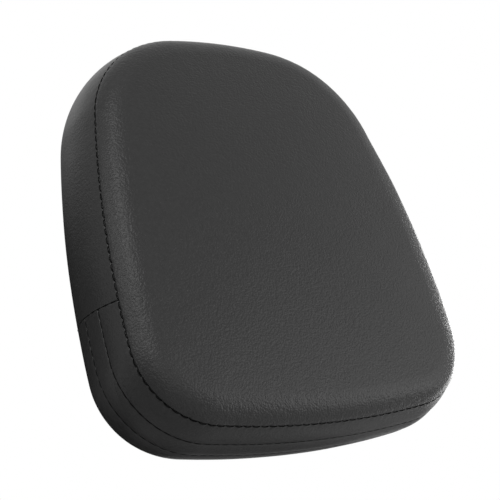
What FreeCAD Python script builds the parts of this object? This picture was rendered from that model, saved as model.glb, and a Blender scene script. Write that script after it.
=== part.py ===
import FreeCAD, Part
import Sketcher
import math
import os

os.makedirs("parts", exist_ok=True)

# Backrest pad for a motorcycle sissy bar, in millimetres.
# X runs across the pad, Z runs up, and the padded face looks toward -Y.
# The origin is the centre of the threaded insert pattern, on the flat back of the base pan.
# Depths are counted from the back plane toward the face, so a depth of 10 lies at Y = -10.
# The pad is a foam core on a moulded pan, under a cover of three sewn pieces:
# a crowned face panel, a smooth upper side band and a pleated lower side band.
# The cover's hem is turned in behind the pan and stapled there.

# Two places nearer than this are the same, and the back plane is depth zero.
touch = 0.001
back_plane = "0 * Sizes.seam_depth"

doc = FreeCAD.newDocument("sissy_bar_pad")
sizes = doc.addObject("Spreadsheet::Sheet", "Sizes")
row = 0


def size(name, entry):
    """Put one size, or a formula of other sizes, in the sheet under a name."""
    global row
    row = row + 1
    sizes.set("A" + str(row), name)
    sizes.set("B" + str(row), str(entry))
    sizes.setAlias("B" + str(row), name)


# Given sizes. Each can be changed by itself.
given = {
    # Seam outline: six kinds of arc, tangent to each other and the same left and right.
    "lower_corner_centre_x": 65.5,
    "lower_corner_centre_drop": 73.5,
    "lower_corner_radius": 46,
    "upper_corner_centre_x": 25.5,
    "upper_corner_centre_rise": 52,
    "upper_corner_radius": 74,
    "bottom_edge_radius": 545,
    "side_edge_radius": 640,
    "top_edge_radius": 285,
    # Side band: it bulges between the face seam and the corner where it turns in behind the pan.
    "seam_depth": 57.5,
    "side_bulge": 6.8,
    "back_edge_inset": 2.2,
    "back_turn_depth": 3.4,
    "back_corner_radius": 6,
    "back_corner_run": 5,
    "front_crease_depth": 43,
    "rear_crease_depth": 28.5,
    "pleat_puff": 0.4,
    "band_join_height": -47,
    "hem_width": 16,
    "hem_back_depth": 0.6,
    # Cover material, and the edges of it that are turned in along the face seam.
    "cover_thickness": 1.4,
    "seam_gap": 0.3,
    "seam_edge_turn": 1,
    "seam_allowance": 6,
    "panel_foot_inset": 0.8,
    "band_foot_inset": 0.7,
    # Crown of the face: a tight arc rising from the seam, a long arc over the shoulder, and a
    # low dome to the middle.
    "shoulder_near_radius": 6,
    "shoulder_slope": 30,
    "shoulder_width": 15,
    "rim_slope": 5.4,
    "crown_mid_share": 0.55,
    "crown_mid_rise": 2.5,
    "crown_top_share": 0.3,
    "crown_top_rise": 3.7,
    # Clearances between the soft pieces, and between them and the pan.
    "soft_clearance": 0.4,
    "pan_clearance": 0.4,
    # Base pan: a plate with a raised land in the middle of its back.
    "pan_plate_thickness": 5.6,
    "pan_edge_inset": 4.3,
    "pan_edge_chamfer": 2.6,
    "land_gap": 2,
    # Flanged threaded inserts, set in the pan from its front.
    "insert_spacing_x": 76,
    "insert_spacing_z": 64,
    "insert_bore_radius": 2.5,
    "insert_barrel_radius": 3.9,
    "insert_flange_radius": 9.5,
    "insert_flange_thickness": 1.4,
    "insert_clearance": 0.1,
    # Staples that hold the hem to the pan.
    "staple_count": 30,
    "staple_crown": 10,
    "staple_wire_width": 1,
    "staple_wire_thickness": 0.5,
    "staple_leg": 5,
    "staple_clearance": 0.1,
    "staple_line_share": 0.5,
    # Stitches of the face seam, lying in the valley between the panel and the bands.
    "stitch_pitch": 5.4,
    "stitch_length": 3.8,
    "stitch_width": 0.6,
    "stitch_thickness": 0.5,
    "stitch_out": 0.45,
    "stitch_rise": 0.2,
}

# Sizes that follow from the given ones.
derived = {
    # Centres and joins of the seam outline's arcs, on the side of positive X.
    "lower_centre_z": "=-lower_corner_centre_drop",
    "upper_centre_z": "=upper_corner_centre_rise",
    "bottom_reach": "=bottom_edge_radius - lower_corner_radius",
    "bottom_centre_z": "=lower_centre_z + sqrt(bottom_reach^2 - lower_corner_centre_x^2)",
    "bottom_z": "=bottom_centre_z - bottom_edge_radius",
    "top_reach": "=top_edge_radius - upper_corner_radius",
    "top_centre_z": "=upper_centre_z - sqrt(top_reach^2 - upper_corner_centre_x^2)",
    "top_z": "=top_centre_z + top_edge_radius",
    "middle_z": "=(bottom_z + top_z) / 2",
    "trim_reach": "=top_z - bottom_z",
    "corner_step_x": "=upper_corner_centre_x - lower_corner_centre_x",
    "corner_step_z": "=upper_centre_z - lower_centre_z",
    "corner_step": "=sqrt(corner_step_x^2 + corner_step_z^2)",
    "side_reach_low": "=side_edge_radius - lower_corner_radius",
    "side_reach_high": "=side_edge_radius - upper_corner_radius",
    "side_along": "=(side_reach_low^2 - side_reach_high^2 + corner_step^2) / (2 * corner_step)",
    "side_across": "=sqrt(side_reach_low^2 - side_along^2)",
    "side_step_x": "=(corner_step_x * side_along - corner_step_z * side_across) / corner_step",
    "side_step_z": "=(corner_step_z * side_along + corner_step_x * side_across) / corner_step",
    "side_centre_x": "=lower_corner_centre_x + side_step_x",
    "side_centre_z": "=lower_centre_z + side_step_z",
    "join_a_out_x": "=lower_corner_centre_x / bottom_reach",
    "join_a_out_z": "=(lower_centre_z - bottom_centre_z) / bottom_reach",
    "join_b_out_x": "=(lower_corner_centre_x - side_centre_x) / side_reach_low",
    "join_b_out_z": "=(lower_centre_z - side_centre_z) / side_reach_low",
    "join_c_out_x": "=(upper_corner_centre_x - side_centre_x) / side_reach_high",
    "join_c_out_z": "=(upper_centre_z - side_centre_z) / side_reach_high",
    "join_d_out_x": "=upper_corner_centre_x / top_reach",
    "join_d_out_z": "=(upper_centre_z - top_centre_z) / top_reach",
    # Side band section: an arc of the stated bulge from the face seam to the back corner.
    "side_chord_depth": "=seam_depth - back_turn_depth",
    "side_chord": "=sqrt(side_chord_depth^2 + back_edge_inset^2)",
    "side_radius": "=side_chord^2 / (8 * side_bulge) + side_bulge / 2",
    "side_sink": "=side_radius - side_bulge",
    "side_arc_out": "=-back_edge_inset / 2 - side_sink * side_chord_depth / side_chord",
    "side_arc_depth": "=(seam_depth + back_turn_depth) / 2 + side_sink * back_edge_inset / side_chord",
    "band_front_depth": "=seam_depth - seam_gap / 2",
    "band_turn_depth": "=band_front_depth - seam_edge_turn",
    "band_turn_out": "=side_arc_out + sqrt(side_radius^2 - (band_turn_depth - side_arc_depth)^2)",
    "front_crease_out": "=side_arc_out + sqrt(side_radius^2 - (front_crease_depth - side_arc_depth)^2)",
    "rear_crease_out": "=side_arc_out + sqrt(side_radius^2 - (rear_crease_depth - side_arc_depth)^2)",
    "side_inner_radius": "=side_radius - cover_thickness",
    "band_inner_depth": "=band_front_depth - cover_thickness",
    "band_inner_rise": "=band_inner_depth - side_arc_depth",
    "band_inner_out": "=side_arc_out + sqrt(side_inner_radius^2 - band_inner_rise^2)",
    "inner_share": "=side_inner_radius / side_radius",
    "back_inner_depth": "=side_arc_depth + (back_turn_depth - side_arc_depth) * inner_share",
    "back_inner_out": "=side_arc_out - (back_edge_inset + side_arc_out) * inner_share",
    "back_corner_end": "=back_edge_inset + back_corner_run",
    "hem_end": "=back_corner_end + hem_width",
    "hem_front_depth": "=hem_back_depth + cover_thickness",
    # Each pleat's arc stands above the band's own arc by the puff.
    "pleat_a_depth": "=band_turn_depth - front_crease_depth",
    "pleat_b_depth": "=front_crease_depth - rear_crease_depth",
    "pleat_c_depth": "=rear_crease_depth - back_turn_depth",
    "pleat_a_chord": "=sqrt(pleat_a_depth^2 + (front_crease_out - band_turn_out)^2)",
    "pleat_b_chord": "=sqrt(pleat_b_depth^2 + (rear_crease_out - front_crease_out)^2)",
    "pleat_c_chord": "=sqrt(pleat_c_depth^2 + (rear_crease_out + back_edge_inset)^2)",
    "pleat_a_rise": "=side_radius - sqrt(side_radius^2 - pleat_a_chord^2 / 4) + pleat_puff",
    "pleat_b_rise": "=side_radius - sqrt(side_radius^2 - pleat_b_chord^2 / 4) + pleat_puff",
    "pleat_c_rise": "=side_radius - sqrt(side_radius^2 - pleat_c_chord^2 / 4) + pleat_puff",
    "pleat_a_radius": "=pleat_a_chord^2 / (8 * pleat_a_rise) + pleat_a_rise / 2",
    "pleat_b_radius": "=pleat_b_chord^2 / (8 * pleat_b_rise) + pleat_b_rise / 2",
    "pleat_c_radius": "=pleat_c_chord^2 / (8 * pleat_c_rise) + pleat_c_rise / 2",
    # Shoulder of the face: centres and radii of its two arcs, counted outward from the seam
    # outline and up from the seam plane.
    "near_inset": "=shoulder_near_radius * (1 - sin(shoulder_slope))",
    "near_rise": "=shoulder_near_radius * cos(shoulder_slope)",
    "far_radius": "=(shoulder_width - near_inset) / (sin(shoulder_slope) - sin(rim_slope))",
    "rim_rise": "=near_rise + far_radius * (cos(rim_slope) - cos(shoulder_slope))",
    "far_centre_out": "=-shoulder_width - far_radius * sin(rim_slope)",
    "far_centre_rise": "=rim_rise - far_radius * cos(rim_slope)",
    # Planes of the face panel, the foam and the pan.
    "panel_depth": "=seam_depth + seam_gap / 2",
    "allowance_thickness": "=cover_thickness",
    "core_shrink": "=cover_thickness + soft_clearance",
    "pan_back_depth": "=hem_front_depth + pan_clearance",
    "pan_front_depth": "=pan_back_depth + pan_plate_thickness",
    "core_back_depth": "=pan_front_depth + pan_clearance",
    "core_side_radius": "=side_radius - core_shrink",
    "groove_inset": "=seam_allowance + soft_clearance",
    "groove_back_depth": "=band_inner_depth - soft_clearance",
    "groove_front_depth": "=panel_depth + allowance_thickness + soft_clearance",
    "groove_width": "=groove_front_depth - groove_back_depth",
    "flange_seat_depth": "=pan_front_depth - insert_flange_thickness - insert_clearance",
    "staple_line": "=back_corner_end + hem_width * staple_line_share",
}

for name, entry in given.items():
    size(name, entry)
for name, entry in derived.items():
    size(name, entry)

doc.recompute()


def value(expression):
    """The number that an expression of the sheet's sizes gives."""
    result = sizes.evalExpression(expression)
    if hasattr(result, "Value"):
        return float(result.Value)
    return float(result)


def new_body(name):
    """An empty body for one piece."""
    body = doc.addObject("PartDesign::Body", name)
    body.Label = name
    return body


def new_sketch(body, name, role, offset=None):
    """A sketch on one of the body's own planes, moved along the plane's normal."""
    sketch = body.newObject("Sketcher::SketchObject", name)
    plane = [feature for feature in body.Origin.OriginFeatures if feature.Role == role][0]
    sketch.AttachmentSupport = [(plane, "")]
    sketch.MapMode = "FlatFace"
    if offset is not None:
        sketch.setExpression("AttachmentOffset.Base.z", offset)
    return sketch


def hold(sketch, kind, arguments, expression):
    """One dimension of a sketch, bound to an expression."""
    number = sketch.addConstraint(Sketcher.Constraint(kind, *arguments, value(expression)))
    sketch.setExpression("Constraints[" + str(number) + "]", expression)


def pin(sketch, element, end, across, up):
    """Fix a point of a sketch at two expressions, counted from the sketch's origin."""
    if across == "0":
        sketch.addConstraint(Sketcher.Constraint("PointOnObject", element, end, -2))
    else:
        hold(sketch, "DistanceX", (-1, 1, element, end), across)
    if up == "0":
        sketch.addConstraint(Sketcher.Constraint("PointOnObject", element, end, -1))
    else:
        hold(sketch, "DistanceY", (-1, 1, element, end), up)


def closed_line(sketch, corners, sides):
    """A closed line through the corners. A side is None for a straight one, or the
    expression of its radius, with a leading minus where its centre is on the right."""
    points = [FreeCAD.Vector(value(across), value(up), 0) for across, up in corners]
    count = len(points)
    ends = []
    for index in range(count):
        start = points[index]
        stop = points[(index + 1) % count]
        side = sides[index]
        if side is None:
            element = sketch.addGeometry(Part.LineSegment(start, stop), False)
            ends.append((element, 1, 2))
        else:
            right = side.startswith("-")
            radius_text = side.lstrip("-")
            radius = value(radius_text)
            chord = stop - start
            half = chord.Length / 2
            rise = math.sqrt(radius * radius - half * half)
            left_normal = FreeCAD.Vector(-chord.y, chord.x, 0).normalize()
            if right:
                centre = (start + stop) * 0.5 - left_normal * rise
                first = stop
                last = start
            else:
                centre = (start + stop) * 0.5 + left_normal * rise
                first = start
                last = stop
            circle = Part.Circle(centre, FreeCAD.Vector(0, 0, 1), radius)
            angle_first = math.atan2(first.y - centre.y, first.x - centre.x)
            angle_last = math.atan2(last.y - centre.y, last.x - centre.x)
            arc = Part.ArcOfCircle(circle, angle_first, angle_last)
            element = sketch.addGeometry(arc, False)
            hold(sketch, "Radius", (element,), radius_text)
            if right:
                ends.append((element, 2, 1))
            else:
                ends.append((element, 1, 2))
    for index in range(count):
        this = ends[index]
        following = ends[(index + 1) % count]
        join = Sketcher.Constraint("Coincident", this[0], this[2], following[0], following[1])
        sketch.addConstraint(join)
    for index in range(count):
        pin(sketch, ends[index][0], ends[index][1], corners[index][0], corners[index][1])


def outline(sketch, grow, share=None):
    """The seam outline, moved outward by an expression, and shrunk to a share of itself
    about its middle where a share is given."""
    corners = [("0", "Sizes.bottom_z - (" + grow + ")")]
    sides = ["bottom_edge_radius", "lower_corner_radius", "side_edge_radius"]
    sides = sides + ["upper_corner_radius", "top_edge_radius"]
    heights = {"a": ("lower_corner_centre_x", "lower_centre_z", "lower_corner_radius")}
    heights["b"] = heights["a"]
    heights["c"] = ("upper_corner_centre_x", "upper_centre_z", "upper_corner_radius")
    heights["d"] = heights["c"]
    right = []
    left = []
    for join in "abcd":
        centre_x, centre_z, radius = heights[join]
        reach = "(Sizes." + radius + " + (" + grow + "))"
        across = "Sizes." + centre_x + " + " + reach + " * Sizes.join_" + join + "_out_x"
        up = "Sizes." + centre_z + " + " + reach + " * Sizes.join_" + join + "_out_z"
        right.append((across, up))
        left.append(("-1 * (" + across + ")", up))
    corners = corners + right + [("0", "Sizes.top_z + (" + grow + ")")] + left[::-1]
    radii = ["(Sizes." + side + " + (" + grow + "))" for side in sides]
    if share is not None:
        shrunk = []
        for across, up in corners:
            if across != "0":
                across = "(" + across + ") * " + share
            shrunk.append((across, "Sizes.middle_z + (" + up + " - Sizes.middle_z) * " + share))
        corners = shrunk
        radii = [radius + " * " + share for radius in radii]
    closed_line(sketch, corners, radii + radii[::-1])


def outline_sketch(body, name, depth, grow, share=None):
    """A sketch of the outline at a depth."""
    sketch = new_sketch(body, name, "XZ_Plane", depth)
    outline(sketch, grow, share)
    return sketch


def section_sketch(body, name, corners, sides):
    """A section in the middle plane, below the outline: each corner is an outward
    distance from the seam outline, and a depth."""
    sketch = new_sketch(body, name, "YZ_Plane")
    placed = []
    for outward, depth in corners:
        placed.append(("-1 * (" + depth + ")", "Sizes.bottom_z - (" + outward + ")"))
    closed_line(sketch, placed, sides)
    return sketch


def pad(body, name, sketch, length):
    """Material from a sketch toward the face."""
    feature = body.newObject("PartDesign::Pad", name)
    feature.Profile = sketch
    feature.setExpression("Length", length)
    return feature


def pocket(body, name, sketch, length, toward_face):
    """A recess from a sketch, cut toward the face or toward the back."""
    feature = body.newObject("PartDesign::Pocket", name)
    feature.Profile = sketch
    feature.setExpression("Length", length)
    feature.Reversed = toward_face
    return feature


def loft(body, name, kind, sketches):
    """A skin over the sketches in straight runs, added or taken away."""
    feature = body.newObject("PartDesign::" + kind, name)
    feature.Profile = sketches[0]
    feature.Sections = sketches[1:]
    feature.Ruled = True
    feature.Closed = False
    return feature


def sweep(body, name, section, path):
    """A section carried round a path."""
    feature = body.newObject("PartDesign::AdditivePipe", name)
    feature.Profile = section
    feature.Spine = (path, [])
    feature.Mode = "Frenet"
    feature.Transition = "Transformed"
    return feature


def shoulder_corners(shrink, foot_rise):
    """Points of the face's shoulder from a foot above the seam plane to the rim, sunk
    square to the surface by an expression."""
    near = "(Sizes.shoulder_near_radius - (" + shrink + "))"
    far = "(Sizes.far_radius - (" + shrink + "))"
    foot_out = "-1 * Sizes.shoulder_near_radius + sqrt(" + near + "^2 - (" + foot_rise + ")^2)"
    foot = (foot_out, "Sizes.seam_depth + " + foot_rise)
    turn_out = "-1 * Sizes.shoulder_near_radius + " + near + " * sin(Sizes.shoulder_slope)"
    turn = (turn_out, "Sizes.seam_depth + " + near + " * cos(Sizes.shoulder_slope)")
    rim = ("-1 * Sizes.shoulder_width", rim_depth(shrink))
    return [foot, turn, rim], [near, far]


def rim_depth(shrink):
    """Depth of the shoulder's inner end, sunk by an expression."""
    far = "(Sizes.far_radius - (" + shrink + "))"
    drop = "(Sizes.shoulder_width + Sizes.far_centre_out)"
    return "Sizes.seam_depth + Sizes.far_centre_rise + sqrt(" + far + "^2 - " + drop + "^2)"


def dome(body, prefix, kind, shrink):
    """The low dome inside the shoulder, sunk by an expression."""
    foot = outline_sketch(body, prefix + "_rim", rim_depth(shrink), "-1 * Sizes.shoulder_width")
    middle_depth = rim_depth(shrink) + " + Sizes.crown_mid_rise"
    middle = outline_sketch(body, prefix + "_mid", middle_depth, "0", "Sizes.crown_mid_share")
    top_depth = rim_depth(shrink) + " + Sizes.crown_top_rise"
    top = outline_sketch(body, prefix + "_top", top_depth, "0", "Sizes.crown_top_share")
    return loft(body, prefix, kind, [foot, middle, top])


# Face panel: a crowned skin, with its edge turned in along the seam. The shoulder is
# carried round the seam outline, and the dome fills the middle.
face = new_body("face_panel")
lip_rise = "(Sizes.seam_gap / 2 + Sizes.seam_edge_turn)"
fold_rise = "(Sizes.seam_gap / 2 + Sizes.allowance_thickness)"
outer_corners, outer_radii = shoulder_corners("0", lip_rise)
inner_corners, inner_radii = shoulder_corners("Sizes.cover_thickness", fold_rise)
face_corners = [("-1 * Sizes.seam_allowance", "Sizes.panel_depth")]
face_corners.append(("-1 * Sizes.panel_foot_inset", "Sizes.panel_depth"))
face_corners = face_corners + outer_corners + inner_corners[::-1]
face_corners.append(("-1 * Sizes.seam_allowance", "Sizes.seam_depth + " + fold_rise))
face_sides = [None, None] + ["-" + radius for radius in outer_radii]
face_sides = face_sides + [None, inner_radii[1], None, None, None]
face_path = outline_sketch(face, "face_path", "Sizes.seam_depth", "0")
face_section = section_sketch(face, "face_section", face_corners, face_sides)
sweep(face, "face_shoulder", face_section, face_path)
rim_outer = rim_depth("0")
rim_inner = rim_depth("Sizes.cover_thickness")
face_middle = outline_sketch(face, "face_middle", rim_inner, "-1 * Sizes.shoulder_width")
pad(face, "face_middle_pad", face_middle, rim_outer + " - (" + rim_inner + ")")
dome(face, "face_dome", "AdditiveLoft", "0")
dome(face, "face_dome_inside", "SubtractiveLoft", "Sizes.cover_thickness")
doc.recompute()

# Section that both side bands share: turned-in edge at the seam, back corner and hem.
band_head = [("-1 * Sizes.seam_allowance", "Sizes.band_front_depth")]
band_head.append(("-1 * Sizes.band_foot_inset", "Sizes.band_front_depth"))
band_head.append(("Sizes.band_turn_out", "Sizes.band_turn_depth"))
band_tail = [("-1 * Sizes.back_edge_inset", "Sizes.back_turn_depth")]
band_tail.append(("-1 * Sizes.back_corner_end", "Sizes.hem_back_depth"))
band_tail.append(("-1 * Sizes.hem_end", "Sizes.hem_back_depth"))
band_tail.append(("-1 * Sizes.hem_end", "Sizes.hem_front_depth"))
band_tail.append(("-1 * Sizes.back_corner_end", "Sizes.hem_front_depth"))
band_tail.append(("Sizes.back_inner_out", "Sizes.back_inner_depth"))
band_tail.append(("Sizes.band_inner_out", "Sizes.band_inner_depth"))
band_tail.append(("-1 * Sizes.seam_allowance", "Sizes.band_inner_depth"))
head_sides = [None, None]
tail_sides = ["Sizes.back_corner_radius", None, None, None]
tail_sides.append("-(Sizes.back_corner_radius - Sizes.cover_thickness)")
tail_sides.append("-Sizes.side_inner_radius")
tail_sides = tail_sides + [None, None]


def side_band(name, middle_corners, middle_sides):
    """A band carried all the way round the seam outline."""
    body = new_body(name)
    path = outline_sketch(body, name + "_path", "Sizes.seam_depth", "0")
    corners = band_head + middle_corners + band_tail
    section = section_sketch(body, name + "_section", corners, head_sides + middle_sides + tail_sides)
    sweep(body, name + "_sweep", section, path)
    return body


def trim_band(body, name, keep_above):
    """Take away the part of a band on the other side of its joins."""
    sketch = new_sketch(body, name, "XZ_Plane", "-1 * Sizes.seam_depth")
    far = "Sizes.trim_reach"
    far_below = "-1 * Sizes.trim_reach"
    if keep_above:
        near = "Sizes.band_join_height + Sizes.seam_gap / 2"
        corners = [(far_below, far_below), (far, far_below), (far, near), (far_below, near)]
    else:
        near = "Sizes.band_join_height - Sizes.seam_gap / 2"
        corners = [(far_below, near), (far, near), (far, far), (far_below, far)]
    closed_line(sketch, corners, [None, None, None, None])
    pocket(body, name + "_cut", sketch, "Sizes.trim_reach", True)


# Upper side band: one smooth strip from join to join over the top.
upper = side_band("upper_side_band_whole", [], ["Sizes.side_radius"])
trim_band(upper, "upper_trim", True)
doc.recompute()

# Lower side band: from join to join under the bottom, with two tucks that run its whole
# length and divide it into three softly padded pleats.
crease_corners = [("Sizes.front_crease_out", "Sizes.front_crease_depth")]
crease_corners.append(("Sizes.rear_crease_out", "Sizes.rear_crease_depth"))
pleat_sides = ["Sizes.pleat_a_radius", "Sizes.pleat_b_radius", "Sizes.pleat_c_radius"]
lower = side_band("lower_side_band_whole", crease_corners, pleat_sides)
trim_band(lower, "lower_trim", False)
doc.recompute()

# Foam core: fills the cover from the pan to the crown, with a groove round it for the
# turned-in edges of the seam.
core = new_body("foam_core")


def core_side_out(depth):
    """Outward place of the foam's side at a depth."""
    rise = "(" + depth + " - Sizes.side_arc_depth)"
    return "Sizes.side_arc_out + sqrt(Sizes.core_side_radius^2 - " + rise + "^2)"


core_corners = [("-1 * Sizes.shoulder_width", "Sizes.core_back_depth")]
core_corners.append((core_side_out("Sizes.core_back_depth"), "Sizes.core_back_depth"))
core_corners.append((core_side_out("Sizes.groove_back_depth"), "Sizes.groove_back_depth"))
core_corners.append(("-1 * Sizes.groove_inset", "Sizes.groove_back_depth"))
core_corners.append(("-1 * Sizes.groove_inset", "Sizes.groove_front_depth"))
crown_rise = "(Sizes.groove_front_depth - Sizes.seam_depth)"
crown_corners, crown_radii = shoulder_corners("Sizes.core_shrink", crown_rise)
core_corners = core_corners + crown_corners
core_sides = [None, "-Sizes.core_side_radius", None, None, None]
core_sides = core_sides + [None, "-" + crown_radii[1], None]
core_path = outline_sketch(core, "core_path", "Sizes.seam_depth", "0")
core_section = section_sketch(core, "core_section", core_corners, core_sides)
sweep(core, "core_rim", core_section, core_path)
core_middle = outline_sketch(core, "core_middle", "Sizes.core_back_depth", "-1 * Sizes.shoulder_width")
pad(core, "core_middle_pad", core_middle, rim_depth("Sizes.core_shrink") + " - Sizes.core_back_depth")
dome(core, "core_dome", "AdditiveLoft", "Sizes.core_shrink")
doc.recompute()

# Base pan: a plate with chamfered back edges, a land that stands out level with the hem,
# and four stepped holes for the inserts.
pan = new_body("base_pan_whole")
plate = outline_sketch(pan, "plate_outline", "Sizes.pan_back_depth", "-1 * Sizes.pan_edge_inset")
plate_pad = pad(pan, "plate", plate, "Sizes.pan_plate_thickness")
doc.recompute()
back_edges = []
for number, edge in enumerate(plate_pad.Shape.Edges):
    level = -edge.BoundBox.YMin
    if edge.BoundBox.YLength < touch and abs(level - value("Sizes.pan_back_depth")) < touch:
        back_edges.append("Edge" + str(number + 1))
plate_edge = pan.newObject("PartDesign::Chamfer", "plate_edge")
plate_edge.Base = (plate_pad, back_edges)
plate_edge.setExpression("Size", "Sizes.pan_edge_chamfer")
land = outline_sketch(pan, "land_outline", back_plane, "-1 * (Sizes.hem_end + Sizes.land_gap)")
pad(pan, "land", land, "Sizes.pan_back_depth + Sizes.pan_plate_thickness / 2")


def four_circles(sketch, radius):
    """Circles at the corners of the insert pattern."""
    for side in ("", "-1 * "):
        for level in ("", "-1 * "):
            across = side + "Sizes.insert_spacing_x / 2"
            up = level + "Sizes.insert_spacing_z / 2"
            centre = FreeCAD.Vector(value(across), value(up), 0)
            circle = Part.Circle(centre, FreeCAD.Vector(0, 0, 1), value(radius))
            element = sketch.addGeometry(circle, False)
            hold(sketch, "Radius", (element,), radius)
            pin(sketch, element, 3, across, up)


barrel_holes = new_sketch(pan, "barrel_holes", "XZ_Plane", back_plane)
four_circles(barrel_holes, "(Sizes.insert_barrel_radius + Sizes.insert_clearance)")
pocket(pan, "barrel_hole_cut", barrel_holes, "2 * Sizes.pan_front_depth", True)
flange_seats = new_sketch(pan, "flange_seats", "XZ_Plane", "Sizes.flange_seat_depth")
four_circles(flange_seats, "(Sizes.insert_flange_radius + Sizes.insert_clearance)")
pocket(pan, "flange_seat_cut", flange_seats, "Sizes.pan_front_depth", True)
doc.recompute()


def circle_sketch(body, name, depth, radius):
    """A sketch of one circle on the body's own axis, at a depth."""
    sketch = new_sketch(body, name, "XZ_Plane", depth)
    circle = Part.Circle(FreeCAD.Vector(0, 0, 0), FreeCAD.Vector(0, 0, 1), value(radius))
    element = sketch.addGeometry(circle, False)
    hold(sketch, "Radius", (element,), radius)
    pin(sketch, element, 3, "0", "0")
    return sketch


def threaded_insert(name, side, level):
    """A flanged insert at one corner of the pattern. Its thread is drawn as the tapping hole."""
    body = new_body(name)
    barrel = circle_sketch(body, name + "_barrel_outline", back_plane, "Sizes.insert_barrel_radius")
    pad(body, name + "_barrel", barrel, "Sizes.pan_front_depth - Sizes.insert_flange_thickness / 2")
    flange_depth = "Sizes.pan_front_depth - Sizes.insert_flange_thickness"
    flange = circle_sketch(body, name + "_flange_outline", flange_depth, "Sizes.insert_flange_radius")
    pad(body, name + "_flange", flange, "Sizes.insert_flange_thickness")
    bore = circle_sketch(body, name + "_bore_outline", back_plane, "Sizes.insert_bore_radius")
    pocket(body, name + "_bore", bore, "2 * Sizes.pan_front_depth", True)
    body.setExpression("Placement.Base.x", side + "Sizes.insert_spacing_x / 2")
    body.setExpression("Placement.Base.z", level + "Sizes.insert_spacing_z / 2")
    return body


# Four threaded inserts, level with the back of the land.
inserts = [threaded_insert("threaded_insert_1", "", "")]
inserts.append(threaded_insert("threaded_insert_2", "-1 * ", ""))
inserts.append(threaded_insert("threaded_insert_3", "-1 * ", "-1 * "))
inserts.append(threaded_insert("threaded_insert_4", "", "-1 * "))
doc.recompute()


def stations(path, count):
    """Evenly spaced places along a closed path, half a step in from its start: the point,
    the direction along the path and the direction square to it, away from the middle."""
    edges = Part.__sortEdges__(path.Shape.Edges)
    total = sum([edge.Length for edge in edges])
    found = []
    for index in range(count):
        distance = (index + 0.5) * total / count
        for edge in edges:
            if distance <= edge.Length:
                break
            distance = distance - edge.Length
        parameter = edge.getParameterByLength(distance)
        point = edge.valueAt(parameter)
        along = edge.tangentAt(parameter)
        outward = point - edge.Curve.Center
        outward.normalize()
        found.append((point, along, outward))
    return found


def bar(point, along, outward, length, width, near, far):
    """A square bar with its length along a path, between two depths."""
    back = FreeCAD.Vector(0, -1, 0)
    start = point - along * (length / 2) - outward * (width / 2)
    start.y = -near
    end = start + along * length
    corners = [start, end, end + outward * width, start + outward * width]
    foot = Part.Face(Part.makePolygon(corners + [start]))
    return foot.extrude(back * (far - near))


# Staples: a crown flat on the hem and two legs down into the pan, with a slot for each leg.
staple_path = outline_sketch(pan, "staple_path", back_plane, "-1 * Sizes.staple_line")
doc.recompute()
crown = value("Sizes.staple_crown")
wire_width = value("Sizes.staple_wire_width")
wire_thickness = value("Sizes.staple_wire_thickness")
leg = value("Sizes.staple_leg")
room = value("Sizes.staple_clearance")
staple_solids = []
slot_solids = []
for point, along, outward in stations(staple_path, round(value("Sizes.staple_count"))):
    whole = bar(point, along, outward, crown, wire_width, 0, wire_thickness)
    for side in (-1, 1):
        foot = point + along * (side * (crown - wire_thickness) / 2)
        whole = whole.fuse(bar(foot, along, outward, wire_thickness, wire_width, 0, leg))
        slot_length = wire_thickness + 2 * room
        slot_width = wire_width + 2 * room
        slot_solids.append(bar(foot, along, outward, slot_length, slot_width, -room, leg + room))
    staple_solids.append(whole.removeSplitter())
staples = doc.addObject("Part::Feature", "hem_staples")
staples.Label = "hem_staples"
staples.Shape = Part.makeCompound(staple_solids)
slots = doc.addObject("Part::Feature", "staple_slots")
slots.Shape = Part.makeCompound(slot_solids)

# Stitches: short lengths of thread in the valley of the face seam.
stitch_path = outline_sketch(face, "stitch_path", "Sizes.seam_depth", "Sizes.stitch_out")
doc.recompute()
stitch_near = value("Sizes.seam_depth + Sizes.stitch_rise - Sizes.stitch_thickness / 2")
stitch_far = value("Sizes.seam_depth + Sizes.stitch_rise + Sizes.stitch_thickness / 2")
stitch_count = round(stitch_path.Shape.Length / value("Sizes.stitch_pitch"))
stitch_solids = []
stitch_length = value("Sizes.stitch_length")
stitch_width = value("Sizes.stitch_width")
for point, along, outward in stations(stitch_path, stitch_count):
    stitch = bar(point, along, outward, stitch_length, stitch_width, stitch_near, stitch_far)
    stitch_solids.append(stitch)
stitches = doc.addObject("Part::Feature", "face_seam_stitches")
stitches.Label = "face_seam_stitches"
stitches.Shape = Part.makeCompound(stitch_solids)


def slotted(name, body):
    """A piece with the staples' slots cut out of it."""
    cut = doc.addObject("Part::Cut", name)
    cut.Label = name
    cut.Base = body
    cut.Tool = slots
    return cut


upper_piece = slotted("upper_side_band", upper)
lower_piece = slotted("lower_side_band", lower)
pan_piece = slotted("base_pan", pan)
doc.recompute()

pieces = [face, upper_piece, lower_piece, core, pan_piece, staples, stitches] + inserts
for thing in doc.Objects:
    if "Invalid" in thing.State or "Error" in thing.State:
        raise RuntimeError("not built: " + thing.Name)
for piece in pieces:
    if piece.Shape.isNull() or not piece.Shape.isValid():
        raise RuntimeError("bad shape: " + piece.Label)
for piece in pieces:
    piece.Shape.exportStep("parts/" + piece.Label + ".step")
    print(piece.Label, round(piece.Shape.Volume), len(piece.Shape.Solids), len(piece.Shape.Faces))
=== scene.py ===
import math

import bmesh
import bpy
import numpy as np
from mathutils import Matrix, Vector, kdtree, noise


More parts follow.
